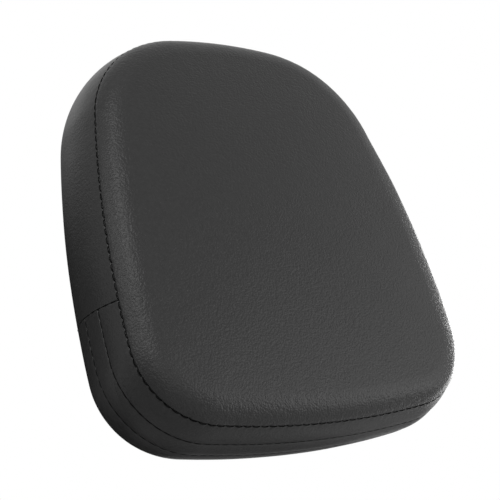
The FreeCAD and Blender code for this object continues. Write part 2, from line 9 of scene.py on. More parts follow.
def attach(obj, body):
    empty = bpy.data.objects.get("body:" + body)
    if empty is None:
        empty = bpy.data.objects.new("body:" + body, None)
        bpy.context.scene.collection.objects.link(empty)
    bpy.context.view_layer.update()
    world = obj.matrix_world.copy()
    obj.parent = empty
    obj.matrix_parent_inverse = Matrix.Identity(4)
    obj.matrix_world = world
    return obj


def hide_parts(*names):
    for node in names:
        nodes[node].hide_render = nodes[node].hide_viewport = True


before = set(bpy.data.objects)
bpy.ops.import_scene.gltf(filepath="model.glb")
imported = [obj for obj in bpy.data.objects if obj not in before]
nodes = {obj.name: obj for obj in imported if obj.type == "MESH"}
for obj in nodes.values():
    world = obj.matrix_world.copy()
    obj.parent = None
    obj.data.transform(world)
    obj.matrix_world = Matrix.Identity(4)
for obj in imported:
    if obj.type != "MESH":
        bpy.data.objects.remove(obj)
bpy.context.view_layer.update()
scene = bpy.context.scene

# Sizes of the pad, in millimetres, as the source has them.
LOWER_X, LOWER_DROP, LOWER_R = 65.5, 73.5, 46.0
UPPER_X, UPPER_RISE, UPPER_R = 25.5, 52.0, 74.0
BOTTOM_R, SIDE_R, TOP_R = 545.0, 640.0, 285.0
SEAM_DEPTH = 57.5
SIDE_BULGE = 6.8
BACK_INSET, BACK_DEPTH = 2.2, 3.4
BACK_CORNER_R, BACK_CORNER_RUN = 6.0, 5.0
FRONT_CREASE, REAR_CREASE = 43.0, 28.5
PLEAT_PUFF, FLAT_PUFF = 0.4, 0.02
JOIN_Z = -47.0
HEM_WIDTH, HEM_DEPTH = 16.0, 0.6
COVER = 1.4
SLOPE, SHOULDER, RIM_SLOPE = math.radians(22), 15.0, math.radians(5.4)
RIM_RISE, CROWN = 9.9, 3.5
STITCHES = 151

# Sizes of what is only modelled here, in millimetres: the radius of the rolled edges and
# the gap that each leaves to the middle of its seam, join or tuck.
LIP, LIP_GAP = 1.0, 0.1
JOIN_LIP, JOIN_GAP = 0.5, 0.1
TUCK_LIP, TUCK_GAP = 0.5, 0.2
ROLL_ANGLES = np.radians([18, 36, 54, 72, 88])
# How much a join rises for each millimetre from the seam towards the back.
JOIN_LEAN = 0.11
# How much fuller the face is on its steep right side.
FULL_SIDE = 1.3
# The thread's radius, and half a stitch's length, at the seam, the joins and the tucks.
SEAM_THREAD_R, SEAM_STITCH_HALF = 0.27, 2.5
JOIN_THREAD_R, JOIN_STITCH_HALF = 0.36, 2.0
JOIN_STITCHES, JOIN_PITCH, JOIN_FIRST = 10, 5.3, 3.4
TUCK_THREAD_R, TUCK_SHARE, TUCK_MARGIN = 0.3, 0.93, 0.8
STRAND_SIDES = 8
# How far a stitch hole is pulled in, how far the edge stands out between holes, and the
# reach of both from the seam; then the same for the wider dent round a hole.
HOLE_SINK, HOLE_PUFF, HOLE_REACH = 0.09, 0.03, 1.3
DENT_SINK, DENT_REACH = 0.05, 3.2
# The hem's gathers at the corners of the back.
HEM_GATHER = 0.55
# Points round the face's edge and round the rest of it, rows that are fine, and the
# bands' column width.
FINE, COARSE, FINE_ROWS = 912, 456, 20
COLUMN = 0.92
# The cloth: points round it, frames and pressure; the most that a point may move, in
# metres, and rounds of smoothing; how many of its points move a cover's point, and the
# blur's width in metres.
CLOTH_RING, CLOTH_FRAMES, CLOTH_PRESSURE = 152, 20, 4.0
CLOTH_CAP, CLOTH_ROUNDS = 0.00025, 12
CLOTH_NEAR, CLOTH_BLUR = 14, 0.004
# A point inside the pad, in metres, that the lamps face.
PAD_MIDDLE = (0, -0.03, 0)


# ---------------------------------------------------------------- outline and sections
def unit(x, z):
    """The direction of (x, z) as a vector of length 1."""
    length = math.hypot(x, z)
    return x / length, z / length


def seam_arcs():
    """The arcs of the seam outline, from the bottom middle up the right side to the top
    middle: centre, radius, first and last angle."""
    c1 = (LOWER_X, -LOWER_DROP)
    c2 = (UPPER_X, UPPER_RISE)
    c0 = (0.0, c1[1] + math.sqrt((BOTTOM_R - LOWER_R) ** 2 - c1[0] ** 2))
    c4 = (0.0, c2[1] - math.sqrt((TOP_R - UPPER_R) ** 2 - c2[0] ** 2))
    a, b = SIDE_R - LOWER_R, SIDE_R - UPPER_R
    dx, dz = c2[0] - c1[0], c2[1] - c1[1]
    length = math.hypot(dx, dz)
    ux, uz = dx / length, dz / length
    along = (a * a - b * b + length * length) / (2 * length)
    across = math.sqrt(a * a - along * along)
    cs = (c1[0] + ux * along - uz * across, c1[1] + uz * along + ux * across)
    turns = [unit(c1[0] - c0[0], c1[1] - c0[1]), unit(c1[0] - cs[0], c1[1] - cs[1]),
             unit(c2[0] - cs[0], c2[1] - cs[1]), unit(c2[0] - c4[0], c2[1] - c4[1])]
    angles = [-math.pi / 2] + [math.atan2(t[1], t[0]) for t in turns] + [math.pi / 2]
    centres = [(c0, BOTTOM_R), (c1, LOWER_R), (cs, SIDE_R), (c2, UPPER_R), (c4, TOP_R)]
    return [(c, r, angles[k], angles[k + 1]) for k, (c, r) in enumerate(centres)]


ARCS = seam_arcs()
ARC_LENGTHS = [r * (b - a) for c, r, a, b in ARCS]
HALF = sum(ARC_LENGTHS)
LOOP = 2 * HALF
PITCH = LOOP / STITCHES


def seam_at(s):
    """Point and outward normal of the seam outline at arc lengths s (an array), counted
    from the bottom middle, anticlockwise as seen from the face."""
    s = np.mod(np.asarray(s, float), LOOP)
    left = s > HALF
    run = np.where(left, LOOP - s, s)
    x = np.zeros_like(run)
    z = np.zeros_like(run)
    nx = np.zeros_like(run)
    nz = np.zeros_like(run)
    start = 0.0
    for (c, r, a, _), length in zip(ARCS, ARC_LENGTHS):
        here = (run >= start - 1e-9) & (run <= start + length + 1e-9)
        t = a + (run[here] - start) / r
        nx[here], nz[here] = np.cos(t), np.sin(t)
        x[here], z[here] = c[0] + r * nx[here], c[1] + r * nz[here]
        start += length
    sign = np.where(left, -1.0, 1.0)
    return x * sign, z, nx * sign, nz


def smooth_step(value, first, last):
    """0 at first, 1 at last, and smooth between."""
    t = np.clip((value - first) / (last - first), 0, 1)
    return t * t * (3 - 2 * t)


# The band's arc: its chord, radius and centre, as (u, depth).
CHORD_D = SEAM_DEPTH - BACK_DEPTH
CHORD = math.hypot(CHORD_D, BACK_INSET)
BAND_R = CHORD ** 2 / (8 * SIDE_BULGE) + SIDE_BULGE / 2
SINK = BAND_R - SIDE_BULGE
BAND_U = -BACK_INSET / 2 - SINK * CHORD_D / CHORD
BAND_D = (SEAM_DEPTH + BACK_DEPTH) / 2 + SINK * BACK_INSET / CHORD


def band_out(depth):
    """How far the smooth band stands outside the seam outline at a depth."""
    return BAND_U + math.sqrt(BAND_R ** 2 - (depth - BAND_D) ** 2)


def arc_points(centre, radius, first, last, count):
    return [(centre[0] + radius * math.cos(a), centre[1] + radius * math.sin(a))
            for a in np.linspace(first, last, count)]


def arc_between(p, q, radius, count):
    """Points of the arc from p to q that bulges outward (to the left of q to p)."""
    (px, py), (qx, qy) = p, q
    mx, my = (px + qx) / 2, (py + qy) / 2
    dx, dy = qx - px, qy - py
    half = math.hypot(dx, dy) / 2
    rise = math.sqrt(radius ** 2 - half ** 2)
    nx, ny = dy / (2 * half), -dx / (2 * half)
    cx, cy = mx + nx * rise, my + ny * rise
    a = math.atan2(py - cy, px - cx)
    b = math.atan2(qy - cy, qx - cx)
    while b - a > math.pi:
        b -= 2 * math.pi
    while b - a < -math.pi:
        b += 2 * math.pi
    return arc_points((cx, cy), radius, a, b, count)


def band_head():
    """The band's edge, rolled in at the face seam."""
    centre_d = SEAM_DEPTH - LIP_GAP - LIP
    inner = BAND_R - LIP
    angle = math.asin((centre_d - BAND_D) / inner)
    centre = (BAND_U + inner * math.cos(angle), centre_d)
    head = [(-6.0, SEAM_DEPTH - LIP_GAP - 0.1), (-3.2, SEAM_DEPTH - LIP_GAP - 0.03)]
    head += arc_points(centre, LIP, math.radians(104), angle, 11)
    return head, head[-1]


def band_tail():
    """Back corner and hem, and the hem's own thickness."""
    end = BACK_INSET + BACK_CORNER_RUN
    corner = arc_between((-BACK_INSET, BACK_DEPTH), (-end, HEM_DEPTH), BACK_CORNER_R, 9)
    tail = corner[1:]
    for k in range(1, 8):
        tail.append((-end - HEM_WIDTH * k / 8, HEM_DEPTH))
    edge = -end - HEM_WIDTH
    tail += [(edge + 0.25, HEM_DEPTH + 0.02), (edge, HEM_DEPTH + 0.3)]
    tail += [(edge, HEM_DEPTH + COVER - 0.25), (edge + 0.3, HEM_DEPTH + COVER)]
    tail += [(edge + 4, HEM_DEPTH + COVER), (edge + 9, HEM_DEPTH + COVER)]
    return tail


def smooth_section():
    """Section of the upper band, from the face seam to the hem."""
    head, start = band_head()
    side = []
    for depth in np.linspace(start[1], BACK_DEPTH, 38)[1:]:
        side.append((band_out(depth), depth))
    return np.array(head + side + band_tail())


def tuck_lip(end_point, inner_point):
    """Points that turn a pleat's end in at its tuck, from the end to the tuck's bottom."""
    along = end_point - inner_point
    along = along / np.hypot(*along)
    normal = np.array([-along[1], along[0]])
    away = np.array([end_point[0] + 40.0, end_point[1] - BAND_D])
    if normal @ away <= 0:
        normal = -normal
    centre = end_point - normal * TUCK_LIP
    found = [centre + TUCK_LIP * (normal * math.cos(a) + along * math.sin(a))
             for a in ROLL_ANGLES]
    deep = found[-1] - normal * 0.5
    bottom = found[-1] - normal * 1.4 + along * (TUCK_GAP - 0.01)
    return [tuple(x) for x in found + [deep, bottom]]


def pleated_section(puff):
    """Section of the lower band: three soft pleats between the tucks, each tuck a narrow
    fold that goes in."""
    head, start = band_head()
    ends = [start, (band_out(FRONT_CREASE), FRONT_CREASE),
            (band_out(REAR_CREASE), REAR_CREASE), (-BACK_INSET, BACK_DEPTH)]
    made = list(head)
    for k in range(3):
        p, q = ends[k], ends[k + 1]
        chord = math.hypot(q[0] - p[0], q[1] - p[1])
        rise = BAND_R - math.sqrt(BAND_R ** 2 - chord ** 2 / 4) + puff
        radius = chord ** 2 / (8 * rise) + rise / 2
        pts = np.array(arc_between(p, q, radius, 61))
        run = np.concatenate([[0], np.cumsum(np.hypot(*np.diff(pts, axis=0).T))])
        first = 0.0 if k == 0 else TUCK_LIP + TUCK_GAP
        last = run[-1] if k == 2 else run[-1] - TUCK_LIP - TUCK_GAP
        marks = np.linspace(first, last, 17)
        arc = np.stack([np.interp(marks, run, pts[:, 0]), np.interp(marks, run, pts[:, 1])], 1)
        if k > 0:
            made += tuck_lip(arc[0], arc[1])[::-1]
        made += [tuple(x) for x in (arc[1:] if k == 0 else arc)]
        if k < 2:
            made += tuck_lip(arc[-1], arc[-2])
    return np.array(made + band_tail())


RIM_D = SEAM_DEPTH + RIM_RISE


def shoulder_section(start_u, start_slope):
    """Section of the face's shoulder from inside the seam to the rim of the dome. The
    panel leaves the seam at the start slope and reaches the rim at the same height."""
    k = (math.cos(RIM_SLOPE) - math.cos(SLOPE)) / (math.sin(SLOPE) - math.sin(RIM_SLOPE))
    level = math.cos(SLOPE) - math.cos(start_slope)
    level -= k * (math.sin(start_slope) - math.sin(SLOPE))
    near = (RIM_RISE - k * (SHOULDER + start_u)) / level
    turn = math.pi / 2 - start_slope
    centre = (start_u - near * math.cos(turn), SEAM_DEPTH - near * math.sin(turn))
    lip_d = SEAM_DEPTH + LIP_GAP + LIP
    inner = near - LIP
    angle = math.asin((lip_d - centre[1]) / inner)
    lip_c = (centre[0] + inner * math.cos(angle), lip_d)
    pts = [(-6.0, SEAM_DEPTH + LIP_GAP + 0.1), (-3.2, SEAM_DEPTH + LIP_GAP + 0.03)]
    pts += arc_points(lip_c, LIP, -math.radians(104), angle, 11)
    pts += arc_points(centre, near, angle, math.pi / 2 - SLOPE, 11)[1:]
    end = pts[-1]
    far_r = (SHOULDER + end[0]) / (math.sin(SLOPE) - math.sin(RIM_SLOPE))
    far_c = (end[0] - far_r * math.sin(SLOPE), end[1] - far_r * math.cos(SLOPE))
    pts += arc_points(far_c, far_r, math.pi / 2 - SLOPE, math.pi / 2 - RIM_SLOPE, 13)[1:]
    return np.array(pts)


def section_run(section):
    """Run along a section from the outermost point of its rolled edge."""
    run = np.concatenate([[0], np.cumsum(np.hypot(*np.diff(section, axis=0).T))])
    first = int(np.argmax(section[:13, 0]))
    return np.abs(run - run[first])


# ---------------------------------------------------------------- mesh helpers
def new_piece(name, verts_mm, faces):
    """A smooth mesh object from points (x, depth, z) in millimetres."""
    co = np.asarray(verts_mm, float)
    placed = np.stack([co[:, 0], -co[:, 1], co[:, 2]], 1) / 1000.0
    mesh = bpy.data.meshes.new(name)
    mesh.from_pydata([tuple(p) for p in placed], [], [tuple(f) for f in faces])
    mesh.validate()
    mesh.polygons.foreach_set("use_smooth", [True] * len(mesh.polygons))
    mesh.update()
    obj = bpy.data.objects.new(name, mesh)
    scene.collection.objects.link(obj)
    return obj


def per_point(mesh, kind="co"):
    """The place, or the normal, of each point of a mesh."""
    found = np.zeros(len(mesh.vertices) * 3)
    mesh.vertices.foreach_get(kind, found)
    return found.reshape(-1, 3)


def set_coords(obj, co):
    obj.data.vertices.foreach_set("co", np.asarray(co, float).ravel())
    obj.data.update()


def facing_out(obj):
    """Turn the faces so that they look away from the pad's middle."""
    bm = bmesh.new()
    bm.from_mesh(obj.data)
    bm.faces.ensure_lookup_table()
    middle = Vector(PAD_MIDDLE)
    score = 0.0
    for f in bm.faces:
        score += f.normal.dot(f.calc_center_median() - middle) * f.calc_area()
    if score < 0:
        bmesh.ops.reverse_faces(bm, faces=bm.faces[:])
    bm.to_mesh(obj.data)
    bm.free()
    obj.data.update()


def lattice_faces(rows, cols, closed, base=0):
    """Faces of a rows x cols grid of points; closed joins the last column to the first."""
    faces = []
    last = cols if closed else cols - 1
    for r in range(rows - 1):
        for c in range(last):
            d = (c + 1) % cols
            faces.append((base + r * cols + c, base + r * cols + d,
                          base + (r + 1) * cols + d, base + (r + 1) * cols + c))
    return faces


def soft_noise(points, octaves=2):
    """Repeatable soft noise, about -1 to 1, at scaled points."""
    return np.array([noise.fractal(Vector(p), 0.6, 2.0, octaves) for p in points])


def flow_places(s, run, across, inward, seed):
    """Places in noise space that run with the seam: across is the grain's width along the
    seam and inward its length square to it, both in millimetres."""
    turn = np.asarray(s) * (2 * math.pi / LOOP)
    ring = LOOP / (2 * math.pi) / across
    return np.stack([ring * np.cos(turn), ring * np.sin(turn),
                     np.asarray(run) / inward + seed], 1)


def add_flow(obj, s, run):
    """Keeps each point's run with the seam for the material's creases."""
    turn = np.asarray(s) * (2 * math.pi / LOOP)
    ring = LOOP / (2 * math.pi)
    flow = np.stack([ring * np.cos(turn), ring * np.sin(turn), np.asarray(run)], 1)
    layer = obj.data.attributes.new("flow", "FLOAT_VECTOR", "POINT")
    layer.data.foreach_set("vector", flow.ravel())


# ---------------------------------------------------------------- pull of the seam thread
def stitch_phase():
    """Arc length of the first seam stitch's middle, from the solids of the stitches."""
    co = per_point(nodes["face_seam_stitches"].data) * 1000.0
    marks = np.linspace(0, LOOP, 16000, endpoint=False)
    x, z = seam_at(marks)[:2]
    total = 0j
    for k in range(0, len(co), max(1, len(co) // 600)):
        near = int(np.argmin((x - co[k, 0]) ** 2 + (z - co[k, 2]) ** 2))
        total += np.exp(2j * math.pi * marks[near] / PITCH)
    return float(np.angle(total) / (2 * math.pi) * PITCH)


PHASE = stitch_phase()
# How strongly each stitch hole pulls, and how each stitch slants.
rng = np.random.default_rng(7)
PULL = rng.uniform(0.65, 1.3, STITCHES + 2)
SLANT = rng.uniform(-0.5, 1.0, STITCHES + 2)


def pull_at(s):
    """How far the thread pulls the edge in at arc length s: 1 in a stitch hole and 0 in
    the middle of a stitch, a little different from hole to hole."""
    turns = (np.asarray(s) - PHASE) / PITCH
    wave = (1 - np.cos(2 * math.pi * turns)) / 2
    hole = np.mod(np.floor(turns), STITCHES).astype(int)
    return wave * PULL[hole]


def sewn(run, s):
    """Outward offset of an edge's points beside the seam: pulled in at the stitch holes,
    and a little full between them."""
    pull = pull_at(s)
    close = np.exp(-(run / HOLE_REACH) ** 2)
    wide = np.exp(-run / DENT_REACH)
    return (-HOLE_SINK * close * pull ** 2 + HOLE_PUFF * close * (1 - pull)
            - DENT_SINK * wide * pull)


# ---------------------------------------------------------------- face cover
MID_Z = (seam_at([0.0])[1][0] + seam_at([HALF])[1][0]) / 2
OPEN_SHOULDER = shoulder_section(0.6, math.radians(66))
STEEP_SHOULDER = shoulder_section(0.0, math.radians(90))
FACE_RUN = section_run(OPEN_SHOULDER)


def face_points(s):
    """Section points of the face at arc lengths s: rows of (x, depth, z). The shoulder is
    open on the left and steep on the right, where the face is also a little fuller."""
    x, z, nx, nz = seam_at(s)
    steep = smooth_step(nx, 0.05, 0.75)
    full = FULL_SIDE * steep * smooth_step(z, 62.0, 25.0) * smooth_step(z, -82.0, -48.0)
    rows = []
    for k in range(len(OPEN_SHOULDER)):
        u = OPEN_SHOULDER[k, 0] * (1 - steep) + STEEP_SHOULDER[k, 0] * steep
        d = OPEN_SHOULDER[k, 1] * (1 - steep) + STEEP_SHOULDER[k, 1] * steep
        if k >= 2:
            u = u + full * math.sin(math.pi * min(FACE_RUN[k], 15.0) / 15.0)
        rows.append(np.stack([x + nx * u, d, z + nz * u], 1))
    return rows


def inner_grid(rim, ring, base, rim_ids):
    """The dome inside the rim as a square grid bent to the rim's shape."""
    grid = ring // 4
    centre = np.array([0.0, RIM_D, MID_Z])
    shift = ring // 8
    index, extra, shares, slots, faces = {}, [], [], [], []

    def ring_slot(i, j):
        """The rim's point that a border point of the grid stands on."""
        if j == 0:
            return i
        if i == grid:
            return grid + j
        if j == grid:
            return 2 * grid + (grid - i)
        return 3 * grid + (grid - j)

    for i in range(grid + 1):
        for j in range(grid + 1):
            if i in (0, grid) or j in (0, grid):
                index[i, j] = rim_ids + (ring_slot(i, j) - shift) % ring
                continue
            a = 2 * i / grid - 1
            b = 2 * j / grid - 1
            if abs(a) > abs(b):
                r = abs(a)
                phi = (math.pi / 4) * (b / a)
                angle = phi if a > 0 else math.pi + phi
            else:
                r = abs(b)
                phi = math.pi / 2 - (math.pi / 4) * (a / b) if b != 0 else 0.0
                angle = phi if b > 0 else math.pi + phi
            slot = (angle / (2 * math.pi) * ring + ring * 0.25) % ring
            k = int(math.floor(slot))
            t = slot - k
            edge = rim[k % ring] * (1 - t) + rim[(k + 1) % ring] * t
            p = centre + (edge - centre) * r
            p[1] = RIM_D + CROWN * (1 - r * r)
            index[i, j] = base + len(extra)
            extra.append(p)
            shares.append(r)
            slots.append(slot)
    for i in range(grid):
        for j in range(grid):
            faces.append((index[i, j], index[i + 1, j], index[i + 1, j + 1], index[i, j + 1]))
    return np.array(extra), faces, np.array(shares), np.array(slots)


def build_face():
    """The face cover: fine rows at its edge, coarse rows on the shoulder, and the dome."""
    fine_s = (np.arange(FINE) + 0.5) * LOOP / FINE
    coarse_s = fine_s[::2]
    turn = FINE_ROWS
    fine_rows = face_points(fine_s)[:turn]
    coarse_rows = face_points(coarse_s)[turn:]
    ratio = FINE // COARSE
    verts = np.concatenate(fine_rows + coarse_rows)
    s = np.concatenate([np.tile(fine_s, turn), np.tile(coarse_s, len(coarse_rows))])
    run = np.concatenate([np.repeat(FACE_RUN[:turn], FINE),
                          np.repeat(FACE_RUN[turn:], COARSE)])
    faces = lattice_faces(turn, FINE, True)
    top = (turn - 1) * FINE
    start = turn * FINE
    for j in range(COARSE):
        ends = [top + (ratio * j + k) % FINE for k in range(ratio + 1)]
        faces.append(tuple(ends) + (start + (j + 1) % COARSE, start + j))
    faces += lattice_faces(len(coarse_rows), COARSE, True, start)
    rim_ids = start + (len(coarse_rows) - 1) * COARSE
    extra, more, shares, slots = inner_grid(coarse_rows[-1], COARSE, len(verts), rim_ids)
    faces += more
    verts = np.concatenate([verts, extra])
    s = np.concatenate([s, (slots + 0.25) * LOOP / COARSE])
    run = np.concatenate([run, FACE_RUN[-1] + (1 - shares) * 95.0])
    nx, nz = seam_at(s)[2:]
    off = sewn(run, s)
    verts[:, 0] += nx * off
    verts[:, 2] += nz * off
    obj = new_piece("face_cover", verts, faces)
    facing_out(obj)
    add_flow(obj, s, run)
    return obj, s, run


face_cover, FACE_S, FACE_AWAY = build_face()
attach(face_cover, "root")
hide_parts("face_panel")


# ---------------------------------------------------------------- side covers
def join_places(u, depth, above=0.0):
    """Arc lengths on the right side where points u outside the seam, at their depths, lie
    a little above the join. The join leans: it rises from the seam towards the back."""
    found = []
    for offset, deep in zip(np.atleast_1d(u), np.atleast_1d(depth)):
        height = JOIN_Z + above + JOIN_LEAN * (SEAM_DEPTH - deep)
        low, high = JOIN_S - 40.0, JOIN_S + 40.0
        for _ in range(50):
            mid = (low + high) / 2
            _, z, _, nz = seam_at([mid])
            if z[0] + nz[0] * offset < height:
                low = mid
            else:
                high = mid
        found.append(low)
    return np.array(found)


def join_place():
    """Arc length of the seam outline where its height is the join's."""
    low, high = 0.0, HALF
    for _ in range(60):
        mid = (low + high) / 2
        if seam_at([mid])[1][0] < JOIN_Z:
            low = mid
        else:
            high = mid
    return low


JOIN_S = join_place()


def build_band(name, section, upper, flat_section=None):
    """A side cover between the joins, each end rolled in like the long edges."""
    run = section_run(section)
    sign = 1.0 if upper else -1.0
    starts = join_places(section[:, 0], section[:, 1], sign * (JOIN_GAP + JOIN_LIP))
    if upper:
        first, last = starts, LOOP - starts
    else:
        first, last = -starts, starts
    cols = int((last[0] - first[0]) / COLUMN)
    columns, arcs = [], []
    for c in np.linspace(0, 1, cols):
        s = first + (last - first) * c
        x, z, nx, nz = seam_at(s)
        here = section
        if flat_section is not None:
            off = min(c, 1 - c) * (last[0] - first[0])
            here = flat_section + (section - flat_section) * float(smooth_step(off, 0.0, 26.0))
        out = here[:, 0] + sewn(run, s)
        corner = smooth_step(np.abs(nx * nz), 0.18, 0.42)
        hem = smooth_step(here[:, 0], -10.0, -15.0) * (here[:, 1] < HEM_DEPTH + 0.1)
        strip = flow_places(s, np.zeros_like(s), across=4.0, inward=40.0, seed=3.0)
        fold = soft_noise(strip, 1)
        gather = np.clip(1 - 5 * np.abs(fold), 0, 1)
        depth = here[:, 1] + HEM_GATHER * corner * hem * gather
        columns.append(np.stack([x + nx * out, depth, z + nz * out], 1))
        arcs.append(s)
    grid = np.stack(columns, 1)
    arcs = np.stack(arcs, 1)

    def rolled(edge, inner):
        """Rings that carry on from an end column and turn in at the join."""
        along = edge - inner
        along /= np.linalg.norm(along, axis=1)[:, None]
        down = np.diff(edge, axis=0)
        down = np.vstack([down, down[-1:]])
        out = np.cross(along, down)
        out /= np.maximum(np.linalg.norm(out, axis=1)[:, None], 1e-9)
        away = edge - np.array([0.0, 30.0, edge[:, 2].mean()])
        if np.sum(out * away) < 0:
            out = -out
        rings = []
        for a in ROLL_ANGLES:
            sink = JOIN_LIP * (1 - math.cos(a))
            rings.append(edge + along * JOIN_LIP * math.sin(a) - out * sink)
        rings.append(rings[-1] - out * 0.6)
        rings.append(rings[-1] - out * 1.0)
        return rings

    left = rolled(grid[:, 0], grid[:, 1])
    right = rolled(grid[:, -1], grid[:, -2])
    count = len(left)
    grid = np.concatenate([np.stack(left[::-1], 1), grid, np.stack(right, 1)], 1)
    arcs = np.concatenate([np.repeat(arcs[:, :1], count, 1), arcs,
                           np.repeat(arcs[:, -1:], count, 1)], 1)
    rows, cols = grid.shape[:2]
    obj = new_piece(name, grid.reshape(-1, 3), lattice_faces(rows, cols, False))
    facing_out(obj)
    s = arcs.ravel()
    away = np.repeat(run, cols)
    add_flow(obj, s, away)
    return obj, s, away


upper_cover, UPPER_S, UPPER_AWAY = build_band("upper_band_cover", smooth_section(), True)
lower_cover, LOWER_S, LOWER_AWAY = build_band(
    "lower_band_cover", pleated_section(PLEAT_PUFF), False, pleated_section(FLAT_PUFF))
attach(upper_cover, "root")
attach(lower_cover, "root")
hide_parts("upper_side_band")
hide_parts("lower_side_band")


# ---------------------------------------------------------------- cloth under pressure
def settled_cloth():
    """The whole cover as one coarse cloth, held at the seam, the tucks and the hem and
    blown up a little: its points at rest, and how far each moved."""
    ring = CLOTH_RING
    s = (np.arange(ring) + 0.5) * LOOP / ring
    x, z, nx, nz = seam_at(s)
    end = BACK_INSET + BACK_CORNER_RUN
    line = [(-end - 8, HEM_DEPTH), (-end, HEM_DEPTH), (-BACK_INSET, BACK_DEPTH)]
    marks = list(np.linspace(BACK_DEPTH, REAR_CREASE, 7)[1:])
    marks += list(np.linspace(REAR_CREASE, FRONT_CREASE, 5)[1:])
    marks += list(np.linspace(FRONT_CREASE, SEAM_DEPTH, 5)[1:])
    line += [(band_out(depth), depth) for depth in marks]
    face_rows = face_points(s)
    verts = [np.stack([x + nx * u, np.full(ring, d), z + nz * u], 1) for u, d in line]
    verts += [face_rows[k] for k in (16, 20, 23, 25, 28, 31, 34)]
    rows = len(verts)
    flat = np.concatenate(verts)
    faces = lattice_faces(rows, ring, True)
    extra, more = inner_grid(verts[-1], ring, len(flat), (rows - 1) * ring)[:2]
    faces += more
    flat = np.concatenate([flat, extra])
    obj = new_piece("settling_cloth", flat, faces)
    facing_out(obj)
    seam_row = len(line) - 1
    below = z < JOIN_Z
    held = []
    for row in (0, 1, 2, seam_row):
        held += list(range(row * ring, (row + 1) * ring))
    for depth in (REAR_CREASE, FRONT_CREASE):
        row = 3 + marks.index(min(marks, key=lambda m: abs(m - depth)))
        held += [row * ring + k for k in range(ring) if below[k]]
    group = obj.vertex_groups.new(name="held")
    group.add(held, 1.0, "REPLACE")
    before = per_point(obj.data)
    cloth = obj.modifiers.new("cloth", "CLOTH")
    setup = cloth.settings
    setup.quality = 6
    setup.mass = 0.4
    setup.tension_stiffness = 60.0
    setup.compression_stiffness = 60.0
    setup.shear_stiffness = 20.0
    setup.bending_stiffness = 0.8
    setup.air_damping = 3.0
    setup.vertex_group_mass = "held"
    setup.use_pressure = True
    setup.uniform_pressure_force = CLOTH_PRESSURE
    setup.effector_weights.gravity = 0.0
    cloth.collision_settings.use_collision = False
    cloth.collision_settings.use_self_collision = False
    cloth.point_cache.frame_start = 1
    cloth.point_cache.frame_end = CLOTH_FRAMES
    for number in range(1, CLOTH_FRAMES + 1):
        scene.frame_set(number)
    seen = obj.evaluated_get(bpy.context.evaluated_depsgraph_get())
    moved = per_point(seen.data) - before
    scene.frame_set(1)
    mesh = obj.data
    pairs = np.zeros(len(mesh.edges) * 2, int)
    mesh.edges.foreach_get("vertices", pairs)
    pairs = pairs.reshape(-1, 2)
    bpy.data.objects.remove(obj)
    bpy.data.meshes.remove(mesh)
    length = np.linalg.norm(moved, axis=1)
    print("CLOTH moved mm: mean %.3f max %.3f" % (length.mean() * 1000, length.max() * 1000))
    moved *= (CLOTH_CAP * np.tanh(length / CLOTH_CAP) / np.maximum(length, 1e-9))[:, None]
    share = np.bincount(pairs.ravel(), minlength=len(before))[:, None]
    for _ in range(CLOTH_ROUNDS):
        near = np.zeros_like(moved)
        np.add.at(near, pairs[:, 0], moved[pairs[:, 1]])
        np.add.at(near, pairs[:, 1], moved[pairs[:, 0]])
        moved = 0.5 * moved + 0.5 * near / share
    return before, moved


def follow_cloth(obj, before, moved, away):
    """Moves a cover's points as the cloth round them moved, but not those at the seam."""
    tree = kdtree.KDTree(len(before))
    for k, p in enumerate(before):
        tree.insert(p, k)
    tree.balance()
    co = per_point(obj.data)
    shift = np.zeros_like(co)
    for k, p in enumerate(co):
        total = 0.0
        for _, index, distance in tree.find_n(p, CLOTH_NEAR):
            weight = math.exp(-(distance / CLOTH_BLUR) ** 2) + 1e-9
            shift[k] += moved[index] * weight
            total += weight
        shift[k] /= total
    shift *= smooth_step(away, 0.6, 6.0)[:, None]
    set_coords(obj, co + shift)


cloth_rest, cloth_moved = settled_cloth()
for piece, away in ((face_cover, FACE_AWAY), (upper_cover, UPPER_AWAY),
                    (lower_cover, LOWER_AWAY)):
    follow_cloth(piece, cloth_rest, cloth_moved, away)


# ---------------------------------------------------------------- creases of the cover
def crease(obj, s, away, broad, creases):
    """Soft unevenness of the padding, and shallow creases that run in from the seam, each
    as high as it says in millimetres."""
    co = per_point(obj.data)
    out = per_point(obj.data, "normal")
    lumps = soft_noise(co * 1000.0 / 42.0 + 11.0, 2) * broad
    strip = soft_noise(flow_places(s, away, across=7.0, inward=30.0, seed=5.0), 2)
    strip = np.clip(np.abs(strip) * 2.2, 0, 1) - 0.5
    close = smooth_step(away, 1.5, 6.0) * smooth_step(away, 46.0, 16.0)
    lift = lumps * smooth_step(away, 1.0, 8.0) + strip * close * creases
    set_coords(obj, co + out * (lift / 1000.0)[:, None])


crease(face_cover, FACE_S, FACE_AWAY, broad=0.1, creases=0.055)
crease(upper_cover, UPPER_S, UPPER_AWAY, broad=0.1, creases=0.04)
crease(lower_cover, LOWER_S, LOWER_AWAY, broad=0.08, creases=0.03)


